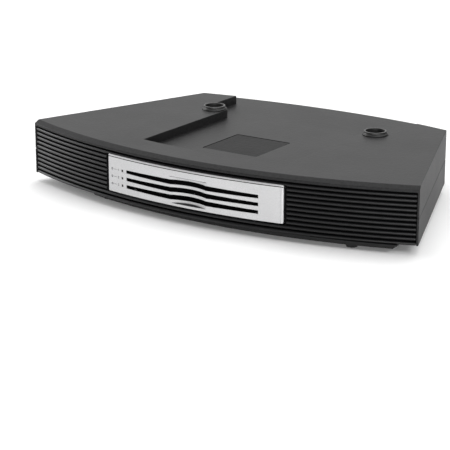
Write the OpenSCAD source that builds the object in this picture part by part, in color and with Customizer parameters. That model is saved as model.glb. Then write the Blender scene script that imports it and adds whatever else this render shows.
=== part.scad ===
// Docking compact-disc changer: a low, wide player with a bowed front, three
// disc slots in a silver fascia, and an open-backed recess on top for the radio
// that stands on it.
// Frame: origin at the middle of the footprint on the table, +X right, +Y to
// the rear, +Z up. Millimetres.

/* [Body] */
// Width across the front corners
body_w = 368; // [360:1:376]
// Width across the rear corners of the raised deck
back_w = 244; // [238:1:250]
// Depth over the bowed front and the rear housing
depth = 235.4; // [233:0.2:238]
// Height of the raised deck above the table
deck_z = 53; // [52.5:0.1:53.5]
// Radius of the bowed front
front_radius = 480; // [476:1:490]
// Distance from the front corners to the rear corners of the raised deck
side_run = 163.2; // [161:0.2:165]
// Bulge of the raised deck's rear edge
back_bulge = 13.7; // [12:0.1:15]
// Half width of the rear housing
housing_half_w = 105; // [103:0.5:107]
// Bulge of the rear housing's rear edge
housing_bulge = 8.5; // [7:0.1:10]
// Wall thickness of the casing
wall = 2.5; // [2:0.1:3]
// Height at which the cover meets the tray
parting_z = 28; // [27:0.5:29]

/* [Docking recess] */
// Depth of the recess below the raised deck
recess_drop = 7.4; // [7:0.1:7.6]
// Half width of the recess in front of the cups
recess_half_w = 68.5; // [66:0.5:70]
// Half width of the recess behind the cups
recess_back_half_w = 91; // [89:0.5:93]
// Width of the raised border between the front and the recess
front_border = 30.7; // [28:0.1:34]
// Rearward place of the two locating cups
cup_y = 36.8; // [35:0.1:39]
// Sideways place of the two locating cups
cup_x = 79.8; // [79.5:0.05:80]
// Bore radius of a locating cup
cup_bore_r = 7.9; // [7.6:0.1:8]
// Height of a locating cup above the deck
cup_rise = 3.3; // [3:0.1:4]
// Side of the square service cover
service_side = 51.2; // [48:0.2:54]

/* [Front] */
// Number of grille bars
bar_count = 11; // [10:1:11]
// Spacing of the grille bars
bar_pitch = 3.72; // [3.7:0.01:3.74]
// Half height of a grille bar
bar_r = 1.2; // [1:0.05:1.3]
// Half width of the silver fascia
fascia_half_w = 83.2; // [82:0.1:84]
// Bottom of the silver fascia
fascia_z0 = 14.6; // [14.4:0.1:14.8]
// Top of the silver fascia
fascia_z1 = 45.1; // [45:0.1:45.2]
// Half length of a disc slot
slot_half_w = 62.8; // [61.5:0.1:63]
// Height of a disc slot across the finger scoop
slot_h = 3.9; // [3.6:0.1:3.9]
// Height of a disc slot at its ends
slot_end_h = 2.7; // [2.4:0.1:3]
// Height of the middle slot's centre
slot_z = 27.45; // [27.3:0.05:27.6]
// Spacing of the disc slots
slot_pitch = 6.2; // [6.2:0.05:6.25]
// Half width of the finger scoop
scoop_half_w = 17.5; // [16:0.5:19]
// Depth of the finger scoop
scoop_depth = 3.8; // [3.4:0.1:4.2]

/* [Mechanism] */
// Distance from the play arm's pivot to its turntable
arm_len = 114; // [114:0.5:115]
// Swing of the play arm from its parked place to under the disc
arm_swing = 47; // [46.5:0.5:47.5]
// Travel of the pickup sled
sled_travel = 35; // [30:1:35]
// Radial clearance of a running fit
run_gap = 0.05; // [0.03:0.01:0.08]

/* [Hidden] */
$fn = 64;
arc_fn = 360;
cut = 0.1;              // overshoot of a cutting shape past the face it cuts
big = 260;              // half size of a shape that reaches past the whole body

graphite = [0.40, 0.40, 0.41];
black = [0.10, 0.10, 0.11];
silver = [0.80, 0.80, 0.81];
rubber = [0.07, 0.07, 0.07];
steel = [0.66, 0.67, 0.68];
board_green = [0.08, 0.30, 0.16];

// --- Derived places of the casing
half_w = body_w / 2;
front_y = -depth / 2;
rear_y = depth / 2;
front_sag = front_radius - sqrt(front_radius * front_radius - half_w * half_w);
front_centre_y = front_y + front_radius;
corner_y = front_y + front_sag;                 // the front corners
back_corner_y = corner_y + side_run;
side_slope = (half_w - back_w / 2) / side_run;
side_angle = atan(side_slope);
back_radius = ((back_w / 2) * (back_w / 2) + back_bulge * back_bulge) / (2 * back_bulge);
back_centre_y = back_corner_y + back_bulge - back_radius;
housing_radius = (housing_half_w * housing_half_w + housing_bulge * housing_bulge) / (2 * housing_bulge);
housing_centre_y = rear_y - housing_radius;

tray_z = 7;                                     // underside of the tray
floor_t = 2;
tray_floor_z = tray_z + floor_t;
recess_z = deck_z - recess_drop;
roof_z = recess_z - wall;                       // underside of the recess floor
bevel_in = 4.1;                                 // front bevel, measured back along the deck
bevel_z = deck_z - 2.7;
visor_z = 48.3;                                 // lower edge of the cover above the grille
bay_depth = 8;                                  // depth of the bay that holds the grille
frame_w = 1.6;                                  // side wall's front edge beside the grille
seam = 0.3;                                     // open line between the cover and the tray
boss_r = cup_x - recess_half_w;                 // raised boss around a cup

// --- Derived places of the front
bar_z0 = 45.5;                                  // top bar's centre
bar_set = 0.5;                                  // bars stand back from the casing's face
bar_reach_x = half_w - frame_w - bar_r - 0.5;
bar_ring_r = front_radius - bar_set - bar_r;
bar_angle = asin(bar_reach_x / bar_ring_r);
plate_r = front_radius - 4;                     // front of the grille's back plate
opening_half_w = fascia_half_w + 1.2;
strip_w = 1.3;
fascia_t = 1.6;
scoop_z0 = 16.6;
scoop_z1 = 38;
scoop_floor_fall = 12.5;                        // slope of the scoop's floor, down to the front
scoop_r = (scoop_half_w * scoop_half_w + scoop_depth * scoop_depth) / (2 * scoop_depth);
scoop_y = front_y + scoop_depth - scoop_r;
led_x = -67.3;
led_w = 1.9;
edge_line_in = 1.3;                             // fine line along the fascia's top and right
edge_line_w = 0.55;
scoop_line_h = 0.35;                            // fine line along the scoop's top edge
edge_fall = 0.5;                                // how far the fascia's edge bands fall back

// --- Derived places of the mechanism
disc_t = 1.2;
disc_y = -35;
slots = [1, 0, -1];                             // top, middle and bottom disc
plate_z = 10;                                   // chassis plate
plate_t = 1.2;
deck_top_z = plate_z + plate_t;
bearing_z = 41.5;                               // plate over the lead screws
flap_y = -105.6;
flap_t = 0.8;
flap_drop = 3.4;
flap_pin_r = 0.5;
flap_pin_up = 1.9;                              // flap's pin above the slot's centre
roller_y = -98.5;
roller_up = 2.8;                                // roller's axis above the disc's mid plane
roller_r = 2.1;
shaft_r = 1;
side_x = 68.5;                                  // chassis side plates
side_t = 1.2;
pulley_x = 77;
pulley_w = 2.4;
roller_pulley_r = 2.4;
motor_pulley_r = 1.6;
loading_motor_y = -68;
loading_motor_z = 26;
belt_gap = 0.1;
belt_t = 0.8;
screw_x = 66;
screw_ys = [-72, -14];
post_ys = [-77, -9];                            // posts that carry the bearing plate
screw_r = 2.95;
screw_pin_r = 1.5;
screw_pulley_r = 6;
belt_z = 12.2;
belt_h = 1.6;
shelf_motor_at = [-86, -43];
shelf_pulley_r = 3;
shelf_t = 0.8;
rail_x0 = 52;
rail_x1 = 72;
pivot = [arm_len * cos(arm_swing), disc_y + arm_len * sin(arm_swing)];
hub = [pivot[0] - arm_len, pivot[1]];           // turntable's axis with the arm parked
post_r = 3;
arm_z = 20;
arm_t = 1.2;
arm_top_z = arm_z + arm_t;
arm_half_w = 16;
rod_y = 13.6;
rod_z = 24;
rod_r = 1.2;
sled_x0 = hub[0] + 15;
sled_len = 18;
sled_z0 = arm_top_z + 0.4;
sled_z1 = 25.8;
lens_x = hub[0] + 23.5;
sled_screw_y = 7.5;
sled_screw_r = 1;
clamp_z = 33.5;
clamp_t = 1.2;
clamp_pin_x = pivot[0] - 13;
puck_stem_r = 2;

function side_x_at(y) = half_w - side_slope * (y - corner_y);
function front_y_at(x, r = front_radius) = front_centre_y - sqrt(r * r - x * x);
function slot_z_at(i) = slot_z + slots[i] * slot_pitch;

// --- Shared outlines and shapes

// Everything between the two slanted sides, moved in by inset
module between_sides(inset = 0) {
    slant = inset / cos(side_angle);
    polygon([
        [-side_x_at(-big) + slant, -big], [side_x_at(-big) - slant, -big],
        [side_x_at(big) - slant, big], [-side_x_at(big) + slant, big]
    ]);
}

module front_disc(inset = 0) {
    translate([0, front_centre_y]) circle(r = front_radius - inset, $fn = arc_fn);
}

module raised_plan(inset = 0) {
    intersection() {
        between_sides(inset);
        front_disc(inset);
        translate([0, back_centre_y]) circle(r = back_radius - inset, $fn = arc_fn);
    }
}

module housing_plan(inset = 0) {
    intersection() {
        translate([0, housing_centre_y]) circle(r = housing_radius - inset, $fn = arc_fn);
        translate([-housing_half_w + inset, 0]) square([2 * (housing_half_w - inset), big]);
    }
}

module body_plan(inset = 0) {
    raised_plan(inset);
    housing_plan(inset);
}

// Outline of the docking recess, widened by grow
module recess_plan(grow = 0) {
    difference() {
        union() {
            intersection() {
                translate([0, front_centre_y]) circle(r = front_radius - front_border + grow, $fn = arc_fn);
                translate([-recess_half_w - grow, -big / 2])
                    square([2 * (recess_half_w + grow), big / 2 + cup_y]);
            }
            translate([-recess_back_half_w - grow, cup_y - grow])
                square([2 * (recess_back_half_w + grow), big]);
        }
        for (side = [-1, 1])
            translate([side * cup_x, cup_y]) circle(r = boss_r - grow);
    }
}

module slab(z0, z1) {
    translate([0, 0, z0]) linear_extrude(z1 - z0) children();
}

// Ring about the front's axis, between two radii and two heights
module front_ring(r0, r1, z0, z1) {
    translate([0, front_centre_y, z0]) difference() {
        cylinder(r = r1, h = z1 - z0, $fn = arc_fn);
        translate([0, 0, -cut]) cylinder(r = r0, h = z1 - z0 + 2 * cut, $fn = arc_fn);
    }
}

// Bay at the front that the grille fills, between two heights
module front_bay(z0, z1) {
    slab(z0, z1) difference() {
        intersection() {
            between_sides(frame_w);
            translate([-big, -big]) square([2 * big, big]);
        }
        front_disc(bay_depth);
    }
}

// Rounded rectangle in the X-Z plane, standing from y0 to y1
module upright(x0, x1, z0, z1, r, y0, y1) {
    translate([0, y1, 0]) rotate([90, 0, 0]) linear_extrude(y1 - y0) {
        translate([x0 + r, z0]) square([x1 - x0 - 2 * r, z1 - z0]);
        translate([x0, z0 + r]) square([x1 - x0, z1 - z0 - 2 * r]);
        for (x = [x0 + r, x1 - r], z = [z0 + r, z1 - r]) translate([x, z]) circle(r = r);
    }
}

module x_cylinder(x0, x1, y, z, r) {
    translate([x0, y, z]) rotate([0, 90, 0]) cylinder(r = r, h = x1 - x0);
}

module block(x0, x1, y0, y1, z0, z1) {
    translate([x0, y0, z0]) cube([x1 - x0, y1 - y0, z1 - z0]);
}

// --- Casing

tower_r = 4;
tower_bore_r = 1.3;
towers = [[-160, -68], [160, -68], [-112, 52], [112, 52], [-66, 96], [66, 96]];

module at_towers() {
    for (place = towers) translate([place[0], place[1], 0]) children();
}

module cover_shape() {
    difference() {
        union() {
            intersection() {
                slab(parting_z + seam, deck_z) raised_plan();
                translate([0, front_centre_y, 0]) {
                    cylinder(r = front_radius, h = bevel_z, $fn = arc_fn);
                    translate([0, 0, bevel_z]) cylinder(r1 = front_radius, r2 = front_radius - bevel_in,
                                                        h = deck_z - bevel_z, $fn = arc_fn);
                }
            }
            slab(parting_z + seam, recess_z) housing_plan();
        }
        slab(recess_z, deck_z + cut) recess_plan();
    }
}

module cover_cavity() {
    difference() {
        union() {
            slab(parting_z - cut, deck_z - wall) raised_plan(wall);
            slab(parting_z - cut, roof_z) housing_plan(wall);
        }
        slab(roof_z, deck_z) recess_plan(wall);
        for (side = [-1, 1])
            translate([side * cup_x, cup_y, roof_z]) cylinder(r = boss_r, h = wall + recess_drop);
    }
}

module top_cover() {
    color(graphite) difference() {
        union() {
            difference() {
                cover_shape();
                cover_cavity();
            }
            at_towers() translate([0, 0, parting_z]) cylinder(r = tower_r, h = roof_z - parting_z + cut);
            for (place = towers) if (abs(place[0]) > recess_back_half_w)
                translate([place[0], place[1], roof_z])
                    cylinder(r = tower_r, h = deck_z - wall - roof_z + cut);
        }
        front_bay(parting_z - cut, visor_z);
        rear_window();
        at_towers() translate([0, 0, parting_z - cut]) cylinder(r = tower_bore_r, h = 12);
        for (side = [-1, 1])
            translate([side * cup_x, cup_y, deck_z - 3]) cylinder(r = cup_seat_r, h = 3 + cut);
        service_seat();
    }
}

vent_count = 7;

module base_tray() {
    color(graphite) difference() {
        union() {
            difference() {
                slab(tray_z, parting_z) body_plan();
                slab(tray_floor_z, parting_z + cut) body_plan(wall);
            }
            at_towers() translate([0, 0, tray_z]) cylinder(r = tower_r, h = parting_z - tray_z);
        }
        front_bay(tray_z - cut, parting_z + cut);
        rear_window();
        at_towers() {
            translate([0, 0, tray_z - cut]) cylinder(r = 1.7, h = parting_z - tray_z + 2 * cut);
            translate([0, 0, tray_z - cut]) cylinder(r = 3, h = 4 + cut);
        }
        for (side = [-1, 1], i = [0:vent_count - 1])
            block(side * 124 - 14, side * 124 + 14, -46 + 6 * i, -43.5 + 6 * i,
                  tray_z - cut, tray_floor_z + cut);
    }
}

// Dark skirt under the grille. Its curve is set back and to the right of the body's
plinth_z = 4;
plinth_shift = 12;
plinth_set = 3.3;
plinth_left = -109;
plinth_right = 168;

module plinth() {
    color(black) difference() {
        intersection() {
            translate([plinth_shift, plinth_set, 0])
                front_ring(front_radius - 7, front_radius, plinth_z, tray_z);
            rotate([90, 0, 0]) linear_extrude(big) polygon([
                [plinth_left + 2.5, plinth_z], [plinth_right - 1.5, plinth_z],
                [plinth_right + 1, tray_z], [plinth_left, tray_z]
            ]);
        }
        at_feet() cylinder(r = foot_r + 0.1, h = tray_z + cut);
    }
}

foot_places = [[-99, -89.4], [132, -89.4], [-84, 84], [84, 84]];
foot_r = 6;

module at_feet() {
    for (place = foot_places) translate([place[0], place[1], 0]) children();
}

module feet() {
    color(rubber) at_feet() {
        cylinder(r1 = 4.3, r2 = foot_r, h = plinth_z);
        translate([0, 0, plinth_z]) cylinder(r = foot_r, h = tray_z - plinth_z);
    }
}

module base_screws() {
    color(steel) at_towers() {
        translate([0, 0, tray_z + 1.4]) cylinder(r = 2.8, h = 2.6);
        translate([0, 0, tray_z + 4]) cylinder(r = tower_bore_r - 0.02, h = 27);
    }
}

// --- Front

module grille_bar(z) {
    translate([0, front_centre_y, z]) {
        rotate([0, 0, -90 - bar_angle]) rotate_extrude(angle = 2 * bar_angle, $fn = arc_fn) {
            translate([bar_ring_r, 0]) circle(r = bar_r, $fn = 32);
            translate([plate_r - 0.5, -bar_r * 0.7]) square([bar_ring_r - plate_r + 0.5, bar_r * 1.4]);
        }
        for (side = [-1, 1]) rotate([0, 0, -90 + side * bar_angle])
            translate([bar_ring_r, 0, 0]) sphere(r = bar_r, $fn = 32);
    }
}

module front_grille() {
    color(black) {
        difference() {
            union() {
                intersection() {
                    front_ring(plate_r - 2, plate_r, tray_z + 0.1, visor_z - 0.2);
                    slab(tray_z, visor_z) between_sides(frame_w + 0.15);
                    block(-big, big, -big, 0, 0, deck_z);
                }
                intersection() {
                    front_ring(front_radius - bay_depth + 0.2, plate_r, tray_z + 0.1, tray_floor_z);
                    slab(tray_z, visor_z) between_sides(frame_w + 0.15);
                    block(-big, big, -big, 0, 0, deck_z);
                }
                for (i = [0:bar_count - 1]) grille_bar(bar_z0 - i * bar_pitch);
            }
            block(-opening_half_w, opening_half_w, -big / 2 + front_y, 0, fascia_z0 - 1, fascia_z1 + 0.2);
        }
        for (side = [-1, 1]) intersection() {
            front_ring(plate_r - 2, front_radius - 0.7, fascia_z0 - 1, fascia_z1 + 0.6);
            translate([side * (opening_half_w + strip_w / 2) - strip_w / 2, front_y - cut, 0])
                cube([strip_w, 40, deck_z]);
        }
    }
}

// A slot is tallest across the scoop and narrows evenly to its ends
module disc_slot(i) {
    translate([0, front_y + 20, slot_z_at(i)]) rotate([90, 0, 0]) linear_extrude(25) polygon([
        [-slot_half_w, -slot_end_h / 2], [-scoop_half_w, -slot_h / 2],
        [scoop_half_w, -slot_h / 2], [slot_half_w, -slot_end_h / 2],
        [slot_half_w, slot_end_h / 2], [scoop_half_w, slot_h / 2],
        [-scoop_half_w, slot_h / 2], [-slot_half_w, slot_end_h / 2]
    ]);
}

post_x = 58;
post_zs = [17.2, 38.6];

// What the fascia's top band loses in front, as it slopes back from the fine line
module top_band_cut() {
    line_z = fascia_z1 - edge_line_in;
    translate([0, front_centre_y, 0]) rotate_extrude($fn = arc_fn) polygon([
        [front_radius, line_z], [front_radius - edge_fall, fascia_z1],
        [front_radius - edge_fall, fascia_z1 + 1], [front_radius + 1, fascia_z1 + 1],
        [front_radius + 1, line_z]
    ]);
}

// The same at one end of the fascia, over a band of the given width
module end_band_cut(side, width) {
    x0 = fascia_half_w - width;
    x1 = fascia_half_w + cut;
    slab(fascia_z0 - cut, fascia_z1 + cut) mirror([side < 0 ? 1 : 0, 0]) polygon([
        [x0, front_y_at(x0)], [x1, front_y_at(x1) + edge_fall], [x1, front_y], [x0, front_y]
    ]);
}

module front_panel() {
    color(silver) difference() {
        union() {
            intersection() {
                front_ring(front_radius - fascia_t, front_radius, fascia_z0, fascia_z1);
                upright(-fascia_half_w, fascia_half_w, fascia_z0, fascia_z1, 1, front_y - 1, 0);
            }
            intersection() {
                translate([0, scoop_y, scoop_z0 - 1.2])
                    cylinder(r = scoop_r + fascia_t, h = scoop_z1 - scoop_z0 + 2.4, $fn = arc_fn);
                slab(scoop_z0 - 1.2, scoop_z1 + 1.2) front_disc(0.4);
            }
            for (side = [-1, 1], z = post_zs) translate([side * post_x, frame_y0, z]) rotate([90, 0, 0])
                cylinder(r = 1.8, h = frame_y0 - front_y_at(post_x) - 0.8);
        }
        intersection() {
            translate([0, scoop_y, scoop_z0]) cylinder(r = scoop_r, h = scoop_z1 - scoop_z0, $fn = arc_fn);
            translate([0, front_y, scoop_z0]) rotate([scoop_floor_fall, 0, 0])
                translate([-30, -20, 0]) cube([60, 60, 60]);
        }
        intersection() {
            front_ring(front_radius - 0.4, front_radius + 1, scoop_z1 - cut, scoop_z1 + scoop_line_h);
            block(-scoop_half_w, scoop_half_w, front_y - 5, front_y + 5,
                  scoop_z1 - cut, scoop_z1 + scoop_line_h);
        }
        for (i = [0:2]) {
            disc_slot(i);
            block(led_x - led_w / 2, led_x + led_w / 2, front_y - 5, front_y + 20,
                  slot_z_at(i) - led_w / 2, slot_z_at(i) + led_w / 2);
        }
        front_ring(front_radius - 0.5, front_radius + 1, fascia_z1 - edge_line_in - edge_line_w,
                   fascia_z1 - edge_line_in);
        block(fascia_half_w - edge_line_in - edge_line_w, fascia_half_w - edge_line_in,
              front_y - 5, front_y_at(fascia_half_w) + 0.1, fascia_z0 - cut, fascia_z1 - edge_line_in);
        top_band_cut();
        end_band_cut(1, edge_line_in);
        end_band_cut(-1, 0.8);
    }
}

lens_w = led_w - 0.1;
led_board_y = -106;

module status_lenses() {
    color([0.06, 0.05, 0.05]) for (i = [0:2])
        block(led_x - lens_w / 2, led_x + lens_w / 2, front_y_at(led_x) + 0.1, led_board_y - 0.7,
              slot_z_at(i) - lens_w / 2, slot_z_at(i) + lens_w / 2);
}

// --- Deck fittings

cup_seat_r = 9.1;

module locating_cup(side) {
    color(rubber) translate([side * cup_x, cup_y, deck_z]) rotate_extrude() polygon([
        [0, -2.9], [cup_seat_r - 0.1, -2.9], [cup_seat_r - 0.1, 0], [10.6, 0], [10.6, 0.8],
        [9.9, 1.4], [9.4, 2.3], [9.6, cup_rise - 0.35], [9.3, cup_rise], [cup_bore_r, cup_rise],
        [cup_bore_r, -1.5], [0, -1.5]
    ]);
}

module cup_left() { locating_cup(-1); }
module cup_right() { locating_cup(1); }

service_x = -4.1;
service_y = -27.8;
service_t = 1.4;

module service_plate(grow, z0, z1) {
    r = 1.2 + grow;
    half = service_side / 2 + grow;
    slab(z0, z1) translate([service_x, service_y]) {
        square([2 * half, 2 * (half - r)], center = true);
        square([2 * (half - r), 2 * half], center = true);
        for (x = [-1, 1], y = [-1, 1]) translate([x * (half - r), y * (half - r)]) circle(r = r);
    }
}

module service_seat() {
    service_plate(0.45, recess_z - service_t, recess_z + cut);
}

module service_cover() {
    color(graphite) service_plate(0, recess_z - service_t, recess_z - 0.25);
}

// --- Rear connectors

window_half_w = 56;
window_z0 = 15;
window_z1 = 39;
rear_plate_y = 104;
rear_plate_t = 1.5;
socket_xs = [-34, -10];
socket_z = 25;
socket_bore_r = 4.6;
inlet_x = 30;

module rear_window() {
    upright(-window_half_w, window_half_w, window_z0, window_z1, 2, rear_plate_y - 0.2, rear_y + 2);
}

// Shallow pan set into the housing's rear wall
module rear_panel() {
    color(black) difference() {
        intersection() {
            upright(-window_half_w + 0.2, window_half_w - 0.2, window_z0 + 0.2, window_z1 - 0.2, 1.8,
                    rear_plate_y, rear_y + 1);
            slab(tray_z, recess_z) housing_plan(0.2);
        }
        upright(-window_half_w + 1.8, window_half_w - 1.8, window_z0 + 1.8, window_z1 - 1.8, 1,
                rear_plate_y + rear_plate_t, rear_y + 2);
        for (x = socket_xs) translate([x, rear_plate_y - cut, socket_z]) rotate([-90, 0, 0])
            cylinder(r = 6.1, h = rear_plate_t + 2 * cut);
        upright(inlet_x - 8.1, inlet_x + 8.1, socket_z - 4.6, socket_z + 4.6, 4.5,
                rear_plate_y - cut, rear_plate_y + rear_plate_t + cut);
    }
}

module link_sockets() {
    color(black) for (x = socket_xs) translate([x, rear_plate_y - 10, socket_z]) rotate([-90, 0, 0]) {
        difference() {
            cylinder(r = 6, h = 13);
            translate([0, 0, 4]) cylinder(r = socket_bore_r, h = 9 + cut);
        }
    }
}

module power_inlet() {
    color(black) difference() {
        upright(inlet_x - 8, inlet_x + 8, socket_z - 4.5, socket_z + 4.5, 4.4,
                rear_plate_y - 12, rear_plate_y + 3);
        difference() {
            upright(inlet_x - 6.8, inlet_x + 6.8, socket_z - 3.4, socket_z + 3.4, 3.3,
                    rear_plate_y - 8, rear_plate_y + 3 + cut);
            for (side = [-1, 1]) translate([inlet_x + side * 3.6, rear_plate_y - 9, socket_z])
                rotate([-90, 0, 0]) cylinder(r = 1.2, h = 9, $fn = 24);
        }
    }
}

// --- Chassis

module chassis() {
    color(steel) difference() {
        union() {
            block(-96, 92, -90, 70, plate_z, deck_top_z);
            block(-71, 71, -103, -89, plate_z, deck_top_z);
            for (side = [-1, 1]) {
                block(side * (side_x + side_t / 2) - side_t / 2, side * (side_x + side_t / 2) + side_t / 2,
                      -103, -90, plate_z, 42);
                for (y = post_ys) block(side * 74 - 1, side * 74 + 1, y - 2, y + 2, deck_top_z, bearing_z);
            }
            for (place = [[-88, -80], [88, -80], [-80, 60], [80, 62]])
                translate([place[0], place[1], tray_floor_z])
                    cylinder(r = 4, h = plate_z - tray_floor_z + cut);
        }
        for (i = [0:2]) x_cylinder(-80, 80, roller_y, slot_z_at(i) + roller_up, shaft_r + run_gap);
        at_screws() translate([0, 0, plate_z - cut])
            cylinder(r = screw_pin_r + run_gap, h = plate_t + 2 * cut);
        translate([shelf_motor_at[0], shelf_motor_at[1], plate_z - cut])
            cylinder(r = 1 + run_gap, h = plate_t + 2 * cut);
    }
}

module at_screws() {
    for (side = [-1, 1], y = screw_ys) translate([side * screw_x, y, 0]) children();
}

module bearing_plate() {
    color(steel) difference() {
        block(-76, 76, -80, -6, bearing_z, bearing_z + plate_t);
        block(-50, 50, -60, -20, bearing_z - cut, bearing_z + plate_t + cut);
        at_screws() translate([0, 0, bearing_z - cut])
            cylinder(r = screw_pin_r + run_gap, h = plate_t + 2 * cut);
    }
}

// --- Slots, flaps and loading rollers

frame_y0 = -107.9;
frame_y1 = -106.7;
ear_x = 64.2;

module slot_frame() {
    color(black) difference() {
        union() {
            block(-ear_x - 1.4, ear_x + 1.4, frame_y0, frame_y1, 15, 41);
            for (side = [-1, 1])
                block(side * (ear_x + 0.7) - 0.7, side * (ear_x + 0.7) + 0.7, frame_y0, flap_y + 1.2, 15, 41);
            for (side = [-1, 1])
                block(side * 67 - 2.7, side * 67 + 2.7, flap_y + 1.2, -103, 15, 41);
        }
        for (i = [0:2]) {
            block(-slot_half_w - 0.4, slot_half_w + 0.4, frame_y0 - 1, frame_y1 + 1,
                  slot_z_at(i) - 1.4, slot_z_at(i) + 1.4);
            x_cylinder(-70, 70, flap_y, slot_z_at(i) + flap_pin_up, flap_pin_r + run_gap);
        }
    }
}

module slot_flap(i) {
    pin_z = slot_z_at(i) + flap_pin_up;
    color(black) {
        x_cylinder(-ear_x - 1.2, ear_x + 1.2, flap_y, pin_z, flap_pin_r);
        block(-slot_half_w, slot_half_w, flap_y - flap_t / 2, flap_y + flap_t / 2, pin_z - flap_drop, pin_z);
    }
}

module slot_flap_1() { slot_flap(0); }
module slot_flap_2() { slot_flap(1); }
module slot_flap_3() { slot_flap(2); }

module roller_shaft(i) {
    z = slot_z_at(i) + roller_up;
    color(steel) {
        x_cylinder(-71, pulley_x + 4, roller_y, z, shaft_r);
        x_cylinder(pulley_x, pulley_x + pulley_w, roller_y, z, roller_pulley_r);
    }
}

module roller_sleeve(i) {
    z = slot_z_at(i) + roller_up;
    color(rubber) difference() {
        x_cylinder(-60, 60, roller_y, z, roller_r);
        x_cylinder(-61, 61, roller_y, z, shaft_r);
    }
}

module roller_shaft_1() { roller_shaft(0); }
module roller_shaft_2() { roller_shaft(1); }
module roller_shaft_3() { roller_shaft(2); }
module roller_sleeve_1() { roller_sleeve(0); }
module roller_sleeve_2() { roller_sleeve(1); }
module roller_sleeve_3() { roller_sleeve(2); }

module loading_motor() {
    color(steel) difference() {
        union() {
            x_cylinder(pulley_x + 4, pulley_x + 24, loading_motor_y, loading_motor_z, 8);
            block(pulley_x + 5, 91, loading_motor_y - 6, loading_motor_y + 6,
                  deck_top_z, loading_motor_z - 4);
        }
        x_cylinder(pulley_x + 3, pulley_x + 12, loading_motor_y, loading_motor_z, shaft_r + run_gap);
    }
}

module loading_pulley() {
    color(steel) {
        x_cylinder(pulley_x - 1, pulley_x + 11, loading_motor_y, loading_motor_z, shaft_r);
        x_cylinder(pulley_x, pulley_x + pulley_w, loading_motor_y, loading_motor_z, motor_pulley_r);
    }
}

// Outline of the loading belt in the Y-Z plane, grown by extra over the pulleys
module loading_loop(extra) {
    hull() {
        for (i = [0, 2]) translate([roller_y, slot_z_at(i) + roller_up])
            circle(r = roller_pulley_r + extra, $fn = 32);
        translate([loading_motor_y, loading_motor_z]) circle(r = motor_pulley_r + extra, $fn = 32);
    }
}

module loading_belt() {
    color(rubber) translate([pulley_x + 0.2, 0, 0]) rotate([90, 0, 90])
        linear_extrude(pulley_w - 0.4) difference() {
            loading_loop(belt_gap + belt_t);
            loading_loop(belt_gap);
        }
}

// --- Disc shelves on their lead screws

module disc_shelf(i) {
    top = slot_z_at(i) - disc_t / 2;
    color(black) difference() {
        union() {
            for (side = [-1, 1]) {
                block(side * (rail_x0 + rail_x1) / 2 - 10, side * (rail_x0 + rail_x1) / 2 + 10,
                      -88, -12, top - shelf_t, top);
                for (y = screw_ys) translate([side * screw_x, y, top - shelf_t])
                    cylinder(r = 6, h = shelf_t + 1.6);
            }
            block(-rail_x0, rail_x0, -88, -80, top - shelf_t, top);
        }
        at_screws() cylinder(r = screw_r + run_gap, h = deck_z);
    }
}

module disc_shelf_1() { disc_shelf(0); }
module disc_shelf_2() { disc_shelf(1); }
module disc_shelf_3() { disc_shelf(2); }

module lead_screw(side, y) {
    color(steel) translate([side * screw_x, y, 0]) {
        translate([0, 0, plate_z]) cylinder(r = screw_pin_r, h = bearing_z + plate_t - plate_z);
        translate([0, 0, deck_top_z + 0.4]) cylinder(r = screw_r, h = bearing_z - deck_top_z - 0.8);
        translate([0, 0, belt_z - 0.2]) cylinder(r = screw_pulley_r, h = belt_h + 0.4);
    }
}

module lead_screw_1() { lead_screw(-1, screw_ys[0]); }
module lead_screw_2() { lead_screw(1, screw_ys[0]); }
module lead_screw_3() { lead_screw(-1, screw_ys[1]); }
module lead_screw_4() { lead_screw(1, screw_ys[1]); }

module shelf_motor() {
    color(steel) translate([shelf_motor_at[0], shelf_motor_at[1], 0]) difference() {
        union() {
            translate([0, 0, 15.5]) cylinder(r = 9, h = 20);
            for (side = [-1, 1]) translate([side * 7, 0, deck_top_z]) cylinder(r = 1.6, h = 8);
        }
        translate([0, 0, 15]) cylinder(r = 1 + run_gap, h = 8);
    }
}

module shelf_pulley() {
    color(steel) translate([shelf_motor_at[0], shelf_motor_at[1], 0]) {
        translate([0, 0, plate_z]) cylinder(r = 1, h = 12);
        translate([0, 0, belt_z - 0.2]) cylinder(r = shelf_pulley_r, h = belt_h + 0.4);
    }
}

module shelf_loop(extra) {
    hull() {
        for (side = [-1, 1], y = screw_ys)
            translate([side * screw_x, y]) circle(r = screw_pulley_r + extra, $fn = 48);
        translate(shelf_motor_at) circle(r = shelf_pulley_r + extra, $fn = 48);
    }
}

module shelf_belt() {
    color(rubber) slab(belt_z, belt_z + belt_h) difference() {
        shelf_loop(belt_gap + belt_t);
        shelf_loop(belt_gap);
    }
}

// --- Swinging play arm: turntable, pickup and clamp

module pivot_post() {
    color(steel) translate([pivot[0], pivot[1], 0]) {
        translate([0, 0, deck_top_z]) cylinder(r = 6, h = arm_z - deck_top_z - 0.4);
        translate([0, 0, deck_top_z]) cylinder(r = post_r, h = 29);
    }
}

rod_x0 = hub[0] - 15;
rod_x1 = sled_x0 + sled_len + sled_travel + 8;

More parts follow.
